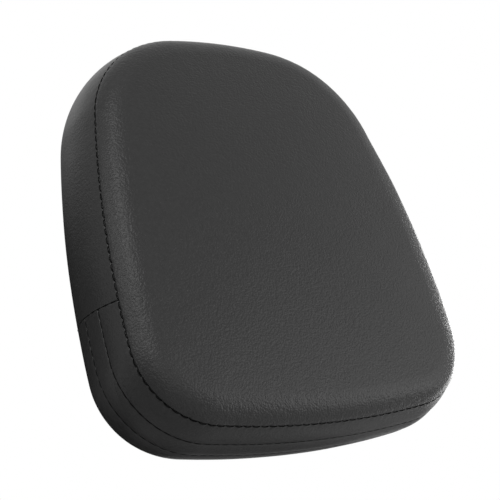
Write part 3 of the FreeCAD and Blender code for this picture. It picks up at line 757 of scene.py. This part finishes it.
# ---------------------------------------------------------------- thread
def strand(path, radius):
    """Points and faces of a short thread along a path of points (x, depth, z), rounded
    off at its ends."""
    count, sides = len(path), STRAND_SIDES
    along = np.gradient(path, axis=0)
    along /= np.linalg.norm(along, axis=1)[:, None]
    side = np.cross(along, np.array([0.0, 1.0, 0.0]))
    weak = np.linalg.norm(side, axis=1) < 0.2
    side[weak] = np.cross(along[weak], np.array([1.0, 0.0, 0.0]))
    side /= np.linalg.norm(side, axis=1)[:, None]
    up = np.cross(side, along)
    share = np.linspace(-1, 1, count)
    thick = radius * np.sqrt(np.clip(1 - np.abs(share) ** 6, 0.12, 1))
    verts = []
    for k in range(count):
        for a in np.linspace(0, 2 * math.pi, sides, endpoint=False):
            verts.append(path[k] + thick[k] * (side[k] * math.cos(a) + up[k] * math.sin(a)))
    faces = lattice_faces(count, sides, False)
    faces += [(r * sides + sides - 1, r * sides, (r + 1) * sides, (r + 1) * sides + sides - 1)
              for r in range(count - 1)]
    faces.append(tuple(range(sides))[::-1])
    faces.append(tuple((count - 1) * sides + k for k in range(sides)))
    return verts, faces


def build_thread():
    """The thread of the face seam, stitch by stitch, and of the two joins and two tucks."""
    verts, faces = [], []

    def keep(path, radius):
        more, shapes = strand(path, radius)
        base = len(verts)
        verts.extend(more)
        faces.extend(tuple(base + k for k in shape) for shape in shapes)

    steps = np.linspace(-1, 1, 9)
    dip = steps ** 4
    for k in range(STITCHES):
        x, z, nx, nz = seam_at(PHASE + k * PITCH + steps * SEAM_STITCH_HALF)
        u = 0.12 + 0.12 * (1 - steps ** 2) - 0.9 * dip
        d = SEAM_DEPTH + 0.2 * SLANT[k] * steps
        keep(np.stack([x + nx * u, d, z + nz * u], 1), SEAM_THREAD_R)
    for side in (1.0, -1.0):
        for k in range(JOIN_STITCHES):
            d = SEAM_DEPTH - JOIN_FIRST - k * JOIN_PITCH + steps * JOIN_STITCH_HALF
            u = np.array([band_out(v) for v in d]) - 0.12 - 0.6 * dip
            x, z, nx, nz = seam_at(join_places(u, d))
            keep(np.stack([side * (x + nx * u), d, z + nz * u], 1), JOIN_THREAD_R)
    for depth in (FRONT_CREASE, REAR_CREASE):
        reach = float(join_places(band_out(depth), depth)[0]) - TUCK_MARGIN
        count = int(2 * reach / PITCH)
        d = np.full(len(steps), depth)
        u = band_out(depth) - 0.14 - 0.6 * dip
        for k in range(count):
            middle = -reach + 2 * reach * (k + 0.5) / count
            x, z, nx, nz = seam_at(middle + steps * reach / count * TUCK_SHARE)
            keep(np.stack([x + nx * u, d, z + nz * u], 1), TUCK_THREAD_R)
    obj = new_piece("seam_thread", np.array(verts), faces)
    bm = bmesh.new()
    bm.from_mesh(obj.data)
    bmesh.ops.recalc_face_normals(bm, faces=bm.faces[:])
    bm.to_mesh(obj.data)
    bm.free()
    return obj


seam_thread = build_thread()
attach(seam_thread, "root")
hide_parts("face_seam_stitches")


# ---------------------------------------------------------------- materials
def new_material(name):
    """A material, its node tree and its shader."""
    mat = bpy.data.materials.new(name)
    mat.use_nodes = True
    tree = mat.node_tree
    return mat, tree, tree.nodes["Principled BSDF"]


def add_node(tree, kind, **settings):
    """A node with values for its sockets, or else its properties, by name."""
    made = tree.nodes.new(kind)
    for key, entry in settings.items():
        if key in made.inputs:
            made.inputs[key].default_value = entry
        else:
            setattr(made, key, entry)
    return made


def add_noise(tree, place, scale, detail):
    """A noise texture at a place in the object."""
    made = add_node(tree, "ShaderNodeTexNoise", Scale=scale, Detail=detail)
    tree.links.new(place, made.inputs["Vector"])
    return made


def add_tone(tree, source, dark, light, bsdf):
    """Base colour from dark to light with a texture."""
    tone = add_node(tree, "ShaderNodeValToRGB")
    for element, position, color in zip(tone.color_ramp.elements, (0.3, 0.7), (dark, light)):
        element.position = position
        element.color = tuple(color) + (1,)
    tree.links.new(source, tone.inputs["Fac"])
    tree.links.new(tone.outputs["Color"], bsdf.inputs["Base Color"])


def add_range(tree, source, low, high, first=0.0, last=1.0):
    """The socket that goes from low at first to high at last."""
    made = add_node(tree, "ShaderNodeMapRange", **{
        "From Min": first, "From Max": last, "To Min": low, "To Max": high})
    tree.links.new(source, made.inputs["Value"])
    return made.outputs["Result"]


def add_bumps(tree, bsdf, layers):
    """Bumps on each other: each layer is its height's socket, strength, depth in metres
    and whether it is turned over."""
    below = None
    for height, strength, depth, over in layers:
        bump = add_node(tree, "ShaderNodeBump", Strength=strength, Distance=depth)
        bump.invert = over
        tree.links.new(height, bump.inputs["Height"])
        if below is not None:
            tree.links.new(below, bump.inputs["Normal"])
        below = bump.outputs["Normal"]
    tree.links.new(below, bsdf.inputs["Normal"])


def vinyl(name, grain):
    """Black grained vinyl: small pebbles, a mottle, and fine creases that run in from the
    seam. grain scales the depth of these."""
    mat, tree, bsdf = new_material(name)
    link = tree.links.new
    place = add_node(tree, "ShaderNodeTexCoord").outputs["Object"]
    warp = add_noise(tree, place, 420.0, 2.0)
    bent = add_node(tree, "ShaderNodeVectorMath", operation="MULTIPLY_ADD")
    link(warp.outputs["Color"], bent.inputs[0])
    bent.inputs[1].default_value = (0.0011, 0.0011, 0.0011)
    link(place, bent.inputs[2])
    pebble = add_node(tree, "ShaderNodeTexVoronoi", Scale=900.0, Randomness=1.0)
    pebble.feature = "SMOOTH_F1"
    pebble.inputs["Smoothness"].default_value = 0.45
    link(bent.outputs[0], pebble.inputs["Vector"])
    mottle = add_noise(tree, place, 520.0, 3.0).outputs["Fac"]
    fine = add_noise(tree, place, 2600.0, 2.0).outputs["Fac"]
    flow = add_node(tree, "ShaderNodeAttribute", attribute_name="flow").outputs["Vector"]
    stretch = add_node(tree, "ShaderNodeVectorMath", operation="MULTIPLY")
    link(flow, stretch.inputs[0])
    stretch.inputs[1].default_value = (0.42, 0.42, 0.09)
    creases = add_noise(tree, stretch.outputs[0], 1.0, 3.0)
    creases.inputs["Roughness"].default_value = 0.6
    split = add_node(tree, "ShaderNodeSeparateXYZ")
    link(flow, split.inputs[0])
    masked = add_node(tree, "ShaderNodeMath", operation="MULTIPLY")
    link(creases.outputs["Fac"], masked.inputs[0])
    link(add_range(tree, split.outputs["Z"], 0.0, 1.0, 34.0, 6.0), masked.inputs[1])
    add_bumps(tree, bsdf, [(pebble.outputs["Distance"], 1.0, 0.00023 * grain, True),
                           (mottle, 1.0, 0.00018 * grain, False),
                           (masked.outputs[0], 1.0, 0.0001 * grain, False),
                           (fine, 0.3, 0.00005, False)])
    add_tone(tree, mottle, [0.0150] * 3, [0.0186] * 3, bsdf)
    broad = add_noise(tree, place, 60.0, 3.0).outputs["Fac"]
    link(add_range(tree, broad, 0.33, 0.41), bsdf.inputs["Roughness"])
    bsdf.inputs["Specular IOR Level"].default_value = 0.2
    return mat


FACE_GRAIN, BAND_GRAIN = 0.85, 0.5
face_cover.data.materials.append(vinyl("face_vinyl", FACE_GRAIN))
band_vinyl = vinyl("band_vinyl", BAND_GRAIN)
upper_cover.data.materials.append(band_vinyl)
lower_cover.data.materials.append(band_vinyl)


def plain_detail(name, color, rough, scale, depth, metallic=0.0, specular=0.5):
    """A moulded, woven or metal surface with a fine grain of its own."""
    mat, tree, bsdf = new_material(name)
    place = add_node(tree, "ShaderNodeTexCoord").outputs["Object"]
    grain = add_noise(tree, place, scale, 3.0).outputs["Fac"]
    add_bumps(tree, bsdf, [(grain, 0.5, depth, False)])
    add_tone(tree, grain, [c * 0.85 for c in color], [c * 1.1 for c in color], bsdf)
    span = add_range(tree, grain, rough - 0.06, rough + 0.06)
    tree.links.new(span, bsdf.inputs["Roughness"])
    bsdf.inputs["Metallic"].default_value = metallic
    bsdf.inputs["Specular IOR Level"].default_value = specular
    return mat


def dress(names, mat):
    """Gives solids that stay as they are a material."""
    for n in names:
        mesh = nodes[n].data
        if len(mesh.materials) == 0:
            mesh.materials.append(mat)
        for k in range(len(mesh.materials)):
            mesh.materials[k] = mat


THREAD = plain_detail("thread", (0.003, 0.003, 0.003), 0.85, 3000.0, 0.00005,
                      specular=0.04)
FOAM = plain_detail("foam", (0.42, 0.40, 0.33), 0.9, 900.0, 0.0004)
PAN = plain_detail("pan_plastic", (0.022, 0.022, 0.023), 0.55, 1100.0, 0.00012)
ZINC = plain_detail("zinc_plate", (0.62, 0.62, 0.6), 0.32, 500.0, 0.00003, metallic=1.0)
WIRE = plain_detail("staple_wire", (0.68, 0.68, 0.68), 0.28, 700.0, 0.00002, metallic=1.0)
dress(["foam_core"], FOAM)
dress(["base_pan"], PAN)
dress(["threaded_insert_%d" % k for k in (1, 2, 3, 4)], ZINC)
dress(["hem_staples"], WIRE)
seam_thread.data.materials.append(THREAD)


# ---------------------------------------------------------------- camera
# The camera fitted to the photograph: azimuth, elevation and roll in degrees, then its
# place across, up and back in millimetres, and its focal length in pixels.
CAMERA_ANGLES = (-37.979, -22.357, 16.464)
CAMERA_PLACE = (17.706, 10.716, 697.971)
FOCAL, PICTURE_WIDTH, SENSOR_WIDTH = 1118.526, 500.0, 36.0


def photo_camera():
    """The photograph's camera, and its right, up and back directions."""
    az, el, roll = (math.radians(a) for a in CAMERA_ANGLES)
    across, above, away = CAMERA_PLACE
    back = np.array([math.sin(az) * math.cos(el), -math.cos(az) * math.cos(el), math.sin(el)])
    right = np.array([math.cos(az), math.sin(az), 0.0])
    up = np.cross(back, right)
    rx = math.cos(roll) * right - math.sin(roll) * up
    ry = math.sin(roll) * right + math.cos(roll) * up
    place = (rx * across + ry * above + back * away) / 1000.0
    data = bpy.data.cameras.new("photo_camera")
    data.sensor_fit = "HORIZONTAL"
    data.sensor_width = SENSOR_WIDTH
    data.lens = FOCAL / PICTURE_WIDTH * SENSOR_WIDTH
    data.clip_start, data.clip_end = 0.05, 20.0
    obj = bpy.data.objects.new("photo_camera", data)
    scene.collection.objects.link(obj)
    obj.matrix_world = Matrix(((rx[0], ry[0], back[0], place[0]),
                               (rx[1], ry[1], back[1], place[1]),
                               (rx[2], ry[2], back[2], place[2]),
                               (0, 0, 0, 1)))
    scene.camera = obj
    return rx, ry, back


RIGHT, UP, BACK = photo_camera()


# ---------------------------------------------------------------- studio
def camera_place(across, up, toward):
    """A point given along the photograph's own right, up and toward-viewer directions."""
    return Vector(RIGHT * across + UP * up + BACK * toward)


def facing(obj, place, axis):
    """Puts an object at a place with one of its axes towards the pad."""
    obj.location = place
    obj.rotation_mode = "QUATERNION"
    obj.rotation_quaternion = (Vector(PAD_MIDDLE) - place).to_track_quat(axis, "Y")


# The lamps, all square and as far from the pad: each one's tilt from the camera's own
# direction and turn about it, in degrees, and its watts.
LAMP_SIZE, LAMP_REACH = 0.6, 1.5
LAMPS = [(20, 45, 1.6), (50, 90, 8.3), (50, 135, 4.8), (65, 22, 3.5), (80, 0, 6.2),
         (95, 22, 1.4), (95, 202, 2.9), (110, 225, 1.1), (125, 157, 1.1), (125, 337, 4.0),
         (140, 0, 11.8)]
for tilt, turn, watts in LAMPS:
    t, a = math.radians(tilt), math.radians(turn)
    side = LAMP_REACH * math.sin(t)
    lamp_name = "soft_%d_%d" % (tilt, turn)
    lamp_data = bpy.data.lights.new(lamp_name, "AREA")
    lamp_data.shape = "SQUARE"
    lamp_data.size = LAMP_SIZE
    lamp_data.energy = watts
    lamp = bpy.data.objects.new(lamp_name, lamp_data)
    scene.collection.objects.link(lamp)
    facing(lamp, camera_place(side * math.cos(a), side * math.sin(a),
                              LAMP_REACH * math.cos(t)), "-Z")


def new_stage(name, corners, mat):
    """A flat piece of the set, which isn't part of the object."""
    mesh = bpy.data.meshes.new(name)
    mesh.from_pydata(corners, [], [(0, 1, 2, 3)])
    mesh.materials.append(mat)
    obj = bpy.data.objects.new(name, mesh)
    scene.collection.objects.link(obj)
    return obj


def flag_gauze(name, half, cover, fade):
    """Black gauze that hides a share of what is behind it, and fades out at its top."""
    mat, tree, bsdf = new_material(name)
    bsdf.inputs["Base Color"].default_value = (0.0, 0.0, 0.0, 1)
    bsdf.inputs["Specular IOR Level"].default_value = 0.0
    place = add_node(tree, "ShaderNodeTexCoord")
    split = add_node(tree, "ShaderNodeSeparateXYZ")
    clear = add_node(tree, "ShaderNodeBsdfTransparent")
    mix = add_node(tree, "ShaderNodeMixShader")
    tree.links.new(place.outputs["Object"], split.inputs[0])
    share = add_range(tree, split.outputs["Y"], 0.0, cover, half, half - fade)
    for number, socket in enumerate((share, clear.outputs[0], bsdf.outputs[0])):
        tree.links.new(socket, mix.inputs[number])
    tree.links.new(mix.outputs[0], tree.nodes["Material Output"].inputs["Surface"])
    return mat


def black_flag(name, place, half, cover, fade):
    """A square of black gauze beside the pad that only its reflections show."""
    corners = [(-half, -half, 0), (half, -half, 0), (half, half, 0), (-half, half, 0)]
    flag = new_stage(name, corners, flag_gauze(name + "_gauze", half, cover, fade))
    facing(flag, place, "Z")
    flag.visible_camera = False
    flag.visible_shadow = False


black_flag("side_flag", camera_place(-0.78, -0.2, -0.55), half=0.9, cover=1.0, fade=0.6)
black_flag("low_flag", camera_place(-0.1, -0.8, -0.6), half=0.5, cover=0.65, fade=0.2)

FLOOR_HALF, FLOOR_Z = 6, -0.9
floor_mat, _, floor_bsdf = new_material("pale_floor")
floor_bsdf.inputs["Base Color"].default_value = (0.8, 0.8, 0.8, 1)
floor_bsdf.inputs["Roughness"].default_value = 0.7
new_stage("floor", [(x * FLOOR_HALF, y * FLOOR_HALF, FLOOR_Z)
                    for x, y in ((-1, -1), (1, -1), (1, 1), (-1, 1))], floor_mat)

# The world: soft light on the object, and white for what the camera, gloss and glass see.
SOFT, WHITE = 0.35, 1.0
world = bpy.data.worlds.new("studio")
scene.world = world
world.use_nodes = True
world_tree = world.node_tree
world_tree.nodes.clear()
surface = add_node(world_tree, "ShaderNodeOutputWorld")
soft = add_node(world_tree, "ShaderNodeBackground", Color=(1, 1, 1, 1), Strength=SOFT)
white = add_node(world_tree, "ShaderNodeBackground", Color=(1, 1, 1, 1), Strength=WHITE)
rays = add_node(world_tree, "ShaderNodeLightPath")
seen = add_node(world_tree, "ShaderNodeMath", operation="MAXIMUM")
white_rays = add_node(world_tree, "ShaderNodeMath", operation="MAXIMUM")
choose = add_node(world_tree, "ShaderNodeMixShader")
for source, target in ((rays.outputs["Is Camera Ray"], seen.inputs[0]),
                       (rays.outputs["Is Glossy Ray"], seen.inputs[1]),
                       (seen.outputs[0], white_rays.inputs[0]),
                       (rays.outputs["Is Transmission Ray"], white_rays.inputs[1]),
                       (white_rays.outputs[0], choose.inputs[0]),
                       (soft.outputs[0], choose.inputs[1]),
                       (white.outputs[0], choose.inputs[2]),
                       (choose.outputs[0], surface.inputs["Surface"])):
    world_tree.links.new(source, target)

scene.view_settings.view_transform = "Standard"
